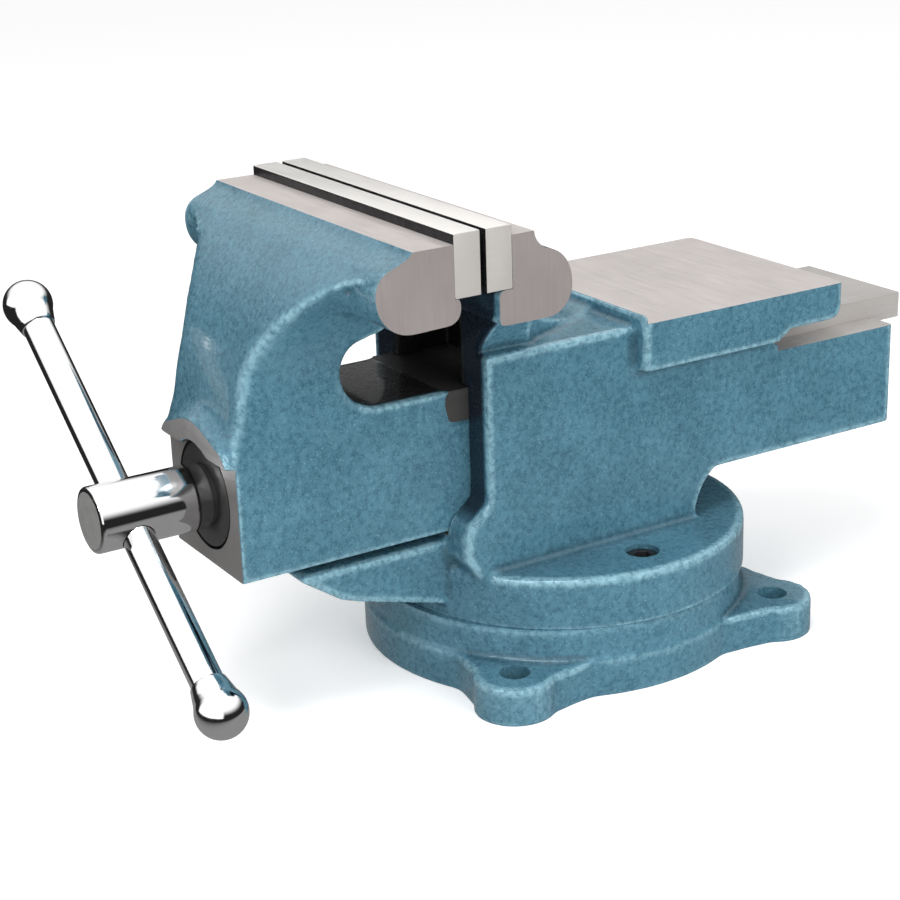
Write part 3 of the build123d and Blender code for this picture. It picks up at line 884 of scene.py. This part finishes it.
# facing is 1 where the gripping face looks to +Y, and -1 where it looks to -Y
def makeJawPlate(name, node, body, faceY, facing):
    depth, sink, tooth = plateSizes["depth"], plateSizes["sink"], plateSizes["tooth"]
    mesh, shape = cadCopy(node)
    for vertex in shape.verts:
        if abs(vertex.co.y - faceY) < onPlane:
            vertex.co.y -= facing * depth
    shape.to_mesh(mesh)
    shape.free()
    looks = ["jaw", "dark", "jawTop"]
    plate = newPiece(name, mesh, looks)
    bevel = plate.modifiers.new("bevel", "BEVEL")
    bevel.width = plateSizes["bevel"]
    bevel.segments = 2
    bevel.limit_method = "ANGLE"
    bevel.angle_limit = math.radians(40)
    applyAll(plate)
    height = plateSizes["high"] - plateSizes["low"] - plateSizes["margin"]
    columns = int((2 * plateSizes["half"] - 0.001) / tooth)
    rows = int(height / tooth)
    teeth = growTree("gripTeeth", {
        "width": (columns - 1) * tooth,
        "height": (rows - 1) * tooth,
        "columns": columns,
        "rows": rows,
        "toothRadius": tooth * 0.7071,
        "depth": depth + sink,
        "holeX": plateSizes["holeX"],
        "clear": plateSizes["clear"],
        "facing": float(facing),
        "faceY": faceY - facing * (depth + sink),
        "middleZ": plateSizes["holeZ"],
    }, teethTree, finishes["jaw"])
    shape = bmesh.new()
    shape.from_mesh(plate.data)
    shape.from_mesh(teeth)
    shape.to_mesh(plate.data)
    shape.free()
    plate.data.materials.clear()
    for key in looks:
        plate.data.materials.append(finishes[key])
    bpy.data.meshes.remove(teeth)
    # the top is a lighter copy of the ground steel, painted light from above, and the ends are plain; the
    # gripping face is dark as painted shade in the gap between the plates, and the back and underside keep
    # their dark heat-treated skin
    backY = faceY - facing * plateSizes["thick"]
    near = 2e-4
    for face in plate.data.polygons:
        back = abs(face.center.y - backY) < near
        grip = (face.center.y - faceY) * facing > -depth - near
        under = face.center.z < plateSizes["low"] + near
        look = "jawTop" if face.normal.z > 0.6 else "dark" if back or grip or under else "jaw"
        face.material_index = looks.index(look)
    softShade(plate.data, 30)
    settle(plate, body, "jaw_steel", node)
    return plate


makeJawPlate("movingJawPlate", "moving_jaw_plate", "front_jaw", -0.10915, 1)
makeJawPlate("fixedJawPlate", "fixed_jaw_plate", "turret", -0.10685, -1)
print("vise: jaw plates made")


handleSizes = {
    "barY": -0.2508,
    "angle": 144.25,
    "bar": 0.0080,
    "upper": 0.1352,
    "lower": 0.1156,
    "end": 0.001,
    "hidden": 0.02,
    "ball": 0.0127,
    "ballEnd": 0.36,
    "fit": 0.00002,
    "neck": [
        (0.01145, -0.0056), (0.01105, -0.0062), (0.0102, -0.0098),
        (0.0094, -0.0132), (0.0089, -0.0152), (0.0085, -0.0159),
    ],
    "neckEnd": -0.0161,
}


# the handle's own axis, moved along itself
def barAxis(distance=0.0):
    angle = math.radians(handleSizes["angle"])
    line = Vector((math.cos(angle), 0, math.sin(angle)))
    middle = Vector((0, handleSizes["barY"], screwZ)) + line * distance
    turn = Vector((0, 0, 1)).rotation_difference(line).to_matrix().to_4x4()
    return Matrix.Translation(middle) @ turn


screwSizes = {
    "head": 0.0165,
    "front": -0.2698,
    "headBack": -0.2120,
    "shoulder": 0.0150,
    "shoulderEnd": -0.1730,
    "shank": 0.0138,
    "root": 0.0112,
    "crest": 0.0140,
    "pitch": 0.0060,
    "foot": 0.0046,
    "tip": 0.0023,
    "start": -0.1400,
    "end": 0.1900,
    "tail": 0.1960,
    "holeSlack": 0.00035,
}


# the ridge of a square-cut thread, wound right-handed and laid along Y
def threadTree(group, entry):
    def value(name):
        return entry.outputs[name]

    def add(kind, links, **settings):
        return treeNode(group, kind, settings, links)

    spiral = add("GeometryNodeCurveSpiral", {
        "Resolution": 40, "Rotations": value("turns"), "Start Radius": value("middle"),
        "End Radius": value("middle"), "Height": value("length"), "Reverse": True,
    })
    upright = add("GeometryNodeSetCurveNormal", {0: spiral.outputs[0]}, mode="Z_UP")
    section = add("GeometryNodeCurvePrimitiveQuadrilateral", {
        "Height": value("depth"), "Bottom Width": value("foot"), "Top Width": value("crest"), "Offset": 0.0,
    }, mode="TRAPEZOID")
    outward = {"Geometry": section.outputs[0], "Rotation": (0, 0, math.pi / 2)}
    turned = add("GeometryNodeTransform", outward)
    swept = {0: upright.outputs[0], 1: turned.outputs[0], "Fill Caps": True}
    ridge = add("GeometryNodeCurveToMesh", swept)
    place = add("ShaderNodeCombineXYZ", {1: value("start"), 2: value("height")})
    return add("GeometryNodeTransform", {
        "Geometry": ridge.outputs[0], "Translation": place.outputs[0], "Rotation": (-math.pi / 2, 0, 0),
    }).outputs[0]


def makeScrew():
    size = screwSizes
    head, front, root, back = size["head"], size["front"], size["root"], size["headBack"]
    start, tail = size["start"], size["tail"]
    profile = [
        (0, front), (head - 0.0024, front), (head - 0.0014, front + 0.0001),
        (head - 0.0005, front + 0.0005), (head - 0.0001, front + 0.0012), (head, front + 0.0020),
        (head, back - 0.0012), (head - 0.0004, back - 0.0004), (head - 0.0014, back),
        (size["shoulder"], back), (size["shoulder"], size["shoulderEnd"]),
        (size["shank"], size["shoulderEnd"] + 0.0006), (size["shank"], start - 0.0008),
        (root, start), (root, tail - 0.0015), (root - 0.0015, tail), (0, tail),
    ]
    axis = yAxis(0, screwZ)
    mesh = meshFrom("leadScrew", lambda s: lathe(s, profile, axis, 128))
    looks = ["chrome", "turned", "bored", "cap"]
    screw = newPiece("leadScrew", mesh, looks)
    for face in mesh.polygons:
        along = face.center.y
        if along < front + 0.00005:
            look = "cap"
        elif along < back - 0.0001:
            look = "chrome"
        else:
            look = "bored" if along < -0.175 else "turned"
        face.material_index = looks.index(look)
    hole = handleSizes["bar"] + size["holeSlack"]
    cutMesh = meshFrom("cutter", lambda s: solidRod(s, barAxis(), hole, -0.03, 0.03, 96))
    cutter = newPiece("cutter", cutMesh, looks)
    for face in cutMesh.polygons:
        face.material_index = looks.index("bored")
    drilling = screw.modifiers.new("hole", "BOOLEAN")
    drilling.solver = "EXACT"
    drilling.object = cutter
    applyAll(screw)
    bpy.data.objects.remove(cutter)
    softShade(screw.data, 28)
    length = size["end"] - start
    depth = size["crest"] - root + 0.0004
    ridge = growTree("threadRidge", {
        "turns": length / size["pitch"],
        "middle": size["crest"] - depth / 2,
        "length": length,
        "depth": depth,
        "foot": size["foot"],
        "crest": size["tip"],
        "start": start,
        "height": screwZ,
    }, threadTree, finishes["turned"])
    softShade(ridge, 40)
    shape = bmesh.new()
    shape.from_mesh(ridge)
    bmesh.ops.recalc_face_normals(shape, faces=shape.faces)
    shape.to_mesh(ridge)
    shape.free()
    thread = newPiece("screwThread", ridge, ["turned"])
    settle(screw, "spindle", "bright_steel", "lead_screw")
    settle(thread, "spindle", "plain_steel")
    print("vise: thread", len(ridge.polygons), "faces")


def makeHandle():
    size = handleSizes
    bar, upper, lower, end = size["bar"], size["upper"], size["lower"], size["end"]
    profile = [
        (0, -lower), (bar - end, -lower), (bar, -lower + end), (bar, -lower + size["hidden"]),
        (bar, upper - size["hidden"]), (bar, upper - end), (bar - end, upper), (0, upper),
    ]
    mesh = meshFrom("handleBar", lambda s: lathe(s, profile, barAxis(), 96))
    rod = newPiece("handleBar", mesh, ["chrome"])
    softShade(mesh)
    settle(rod, "handle", "bright_steel", "handle_bar")
    makeBall("handleBallUpper", "handle_ball_upper", upper, -1)
    makeBall("handleBallLower", "handle_ball_lower", -lower, 1)


# the ball runs into a short cone that closes on the bar
def makeBall(name, node, place, side):
    size = handleSizes
    inner, steps = size["bar"] + size["fit"], 40
    points = []
    for step in range(steps + 1):
        angle = math.pi / 2 - (math.pi / 2 + size["ballEnd"]) * step / steps
        points.append((size["ball"] * math.cos(angle), size["ball"] * math.sin(angle)))
    points += size["neck"] + [(inner, size["neckEnd"])]
    points += [(inner, size["neckEnd"] * 0.2), (0.0, size["neckEnd"] * 0.2)]
    profile = [(radius, -side * along) for radius, along in points]
    mesh = meshFrom(name, lambda s: lathe(s, profile, barAxis(place), 96))
    knob = newPiece(name, mesh, ["chrome"])
    softShade(mesh, 40)
    settle(knob, "handle", "bright_steel", node)


makeScrew()
makeHandle()
print("vise: screw and handle made")


# small turned and forged parts, the CAD shape with its edges broken:
# name: (node, body, slot, finish, width of the broken edge)
hardware = {
    "fixedPlateScrews": ("fixed_plate_screws", "turret", "black_steel", "dark", 0.0003),
    "movingPlateScrews": ("moving_plate_screws", "front_jaw", "black_steel", "dark", 0.0003),
    "thrustWasher": ("thrust_washer", "front_jaw", "plain_steel", "bored", 0.0003),
    "retainingCollar": ("retaining_collar", "spindle", "plain_steel", "turned", 0.0003),
    "collarPin": ("collar_pin", "spindle", "plain_steel", "turned", 0.0004),
    "springWasher": ("spring_washer", "spindle", "plain_steel", "turned", 0.0003),
    "thrustSpring": ("thrust_spring", "spindle", "spring_steel", "spring", 0.0),
    "mainNut": ("main_nut", "turret", "nut_iron", "nut", 0.0010),
    "nutBolt": ("nut_bolt", "turret", "black_steel", "dark", 0.0005),
    "nutWasher": ("nut_washer", "turret", "plain_steel", "turned", 0.0003),
    "pivotBolt": ("pivot_bolt", "turret", "black_steel", "dark", 0.0006),
    "pivotWasher": ("pivot_washer", "turret", "plain_steel", "turned", 0.0003),
    "lockBoltNear": ("lock_bolt_near", "lock_near", "black_steel", "dark", 0.0003),
    "lockBoltFar": ("lock_bolt_far", "lock_far", "black_steel", "dark", 0.0003),
    "lockWasherNear": ("lock_washer_near", "lock_near", "plain_steel", "turned", 0.0002),
    "lockWasherFar": ("lock_washer_far", "lock_far", "plain_steel", "turned", 0.0002),
    "tNutNear": ("t_nut_near", "turret", "nut_iron", "nut", 0.0004),
    "tNutFar": ("t_nut_far", "turret", "nut_iron", "nut", 0.0004),
}


def makeHardware(name, node, body, slot, finish, edge):
    mesh, shape = cadCopy(node)
    flat = math.radians(3)  # triangles this near to one plane become one face
    bmesh.ops.dissolve_limit(shape, angle_limit=flat, verts=shape.verts, edges=shape.edges)
    shape.to_mesh(mesh)
    shape.free()
    part = newPiece(name, mesh, [finish])
    if edge:
        broken = part.modifiers.new("broken", "BEVEL")
        broken.width = edge
        broken.segments = 2
        broken.limit_method = "ANGLE"
        broken.angle_limit = math.radians(35)
        applyAll(part)
    softShade(part.data, 30)
    settle(part, body, slot, node)


for name, facts in hardware.items():
    makeHardware(name, *facts)
print("vise: hardware made")


studio = {
    "ambient": 0.66,
    "seen": 1.05,
    "dome": 1.20,
    "bandTop": 0.60,
    "bandDrop": 0.03,
    "bandSoft": 0.42,
    "bandDark": 0.02,
    "bandSide": (0.25, -0.97),
    "bandEdge": (0.40, 0.68),
    "floorHalf": 12.0,
    "floorDrop": 0.0002,
    "floorPale": 0.93,
    "floorGlow": 0.30,
    "floorGloss": 0.28,
    "floorDark": 0.02,
    "floorEdge": (0.30, 0.52),
}


def makeStage():
    half = studio["floorHalf"]
    mesh = meshFrom("floor", lambda s: bmesh.ops.create_grid(s, x_segments=1, y_segments=1, size=half))
    floor = bpy.data.objects.new("floor", mesh)
    bpy.context.scene.collection.objects.link(floor)
    floor.location.z = -studio["floorDrop"]
    material, f = newFinish("paleFloor")
    pale = f.signal("ShaderNodeBsdfDiffuse", {}, {"Color": (*[studio["floorPale"]] * 3, 1.0)})
    spot = f.signal("ShaderNodeTexCoord", output="Object")
    reach = f.signal("ShaderNodeVectorMath", {"operation": "LENGTH"}, {0: spot}, "Value")
    edge = reach.between(*studio["floorEdge"])
    tone = studio["floorGloss"] + (studio["floorDark"] - studio["floorGloss"]) * edge
    mirrored = f.signal("ShaderNodeEmission", {}, {"Strength": tone})
    paths = f.node("ShaderNodeLightPath")
    seen = Signal(f, paths.outputs["Is Camera Ray"])
    glossy = Signal(f, paths.outputs["Is Glossy Ray"])
    glow = f.signal("ShaderNodeEmission", {}, {"Strength": seen * studio["floorGlow"]})
    lit = f.signal("ShaderNodeAddShader", {}, {0: pale, 1: glow})
    both = f.signal("ShaderNodeMixShader", {}, {0: glossy, 1: lit, 2: mirrored})
    f.node("ShaderNodeOutputMaterial", {}, {"Surface": both})
    mesh.materials.append(material)


# white all round, with a dark band low at the back and right that polished parts pick up
def makeWorld():
    world = bpy.data.worlds.new("studio")
    world.use_nodes = True
    bpy.context.scene.world = world
    f = Finish(world.node_tree)
    spot = f.signal("ShaderNodeTexCoord", output="Generated")
    parts = f.node("ShaderNodeSeparateXYZ", {}, {0: spot})
    x, y, z = (Signal(f, socket) for socket in parts.outputs)
    sideX, sideY = studio["bandSide"]
    shut = 1.0 - (sideX * x + sideY * y).between(*studio["bandEdge"])
    top = studio["bandTop"] * shut - studio["bandDrop"]
    lift = (z - top + studio["bandSoft"]) / studio["bandSoft"]
    tone = studio["bandDark"] + (studio["dome"] - studio["bandDark"]) * lift.between(0.0, 1.0)
    paths = f.node("ShaderNodeLightPath")
    glossy = Signal(f, paths.outputs["Is Glossy Ray"])
    seen = Signal(f, paths.outputs["Is Camera Ray"])
    strength = studio["ambient"] + glossy * (tone - studio["ambient"])
    strength = strength + seen * (studio["seen"] - studio["ambient"])
    back = f.signal("ShaderNodeBackground", {}, {"Color": (1.0, 1.0, 1.0, 1.0), "Strength": strength})
    f.node("ShaderNodeOutputWorld", {}, {"Surface": back})


# name: (place, target, width, height, power, shows in polished parts)
lamps = {
    "keyLamp": ((0.87, -1.63, 1.65), (0, 0, 0.12), 0.60, 0.50, 9.5, True),
    "topLamp": ((0.40, -0.55, 1.90), (0, 0, 0.1), 0.60, 0.60, 12.0, True),
    "sideLamp": ((2.1, 0.1, 0.9), (0, 0, 0.12), 1.2, 1.2, 21.0, False),
}


def addLamp(name, place, target, width, height, power, shine):
    lamp = bpy.data.lights.new(name, "AREA")
    lamp.shape = "RECTANGLE"
    lamp.size = width
    lamp.size_y = height
    lamp.energy = power
    holder = bpy.data.objects.new(name, lamp)
    bpy.context.scene.collection.objects.link(holder)
    holder.location = place
    line = Vector(target) - Vector(place)
    holder.rotation_euler = line.to_track_quat("-Z", "Y").to_euler()
    holder.visible_glossy = shine
    holder.visible_camera = False


viewSizes = {
    "turns": (58.83, 19.64, -1.95),  # azimuth, elevation and roll, in degrees
    "place": (0.8413, -0.5775, 0.4629),
    "sensor": 36.0,
    "lens": 79.54,
    "clipEnd": 60.0,
}


def makeCamera():
    azimuth, elevation, roll = (math.radians(turn) for turn in viewSizes["turns"])
    back = Vector((
        math.sin(azimuth) * math.cos(elevation),
        -math.cos(azimuth) * math.cos(elevation),
        math.sin(elevation),
    ))
    right = Vector((math.cos(azimuth), math.sin(azimuth), 0.0))
    up = back.cross(right)
    across = right * math.cos(roll) + up * math.sin(roll)
    upward = up * math.cos(roll) - right * math.sin(roll)
    lens = bpy.data.cameras.new("viewCamera")
    lens.sensor_width = viewSizes["sensor"]
    lens.lens = viewSizes["lens"]
    lens.clip_end = viewSizes["clipEnd"]
    camera = bpy.data.objects.new("viewCamera", lens)
    bpy.context.scene.collection.objects.link(camera)
    matrix = Matrix((across, upward, back)).transposed().to_4x4()
    matrix.translation = Vector(viewSizes["place"])
    camera.matrix_world = matrix
    bpy.context.scene.camera = camera


makeStage()
makeWorld()
for name, facts in lamps.items():
    addLamp(name, *facts)
makeCamera()
bpy.context.scene.view_settings.view_transform = "Standard"
print("vise: stage, light and camera set")
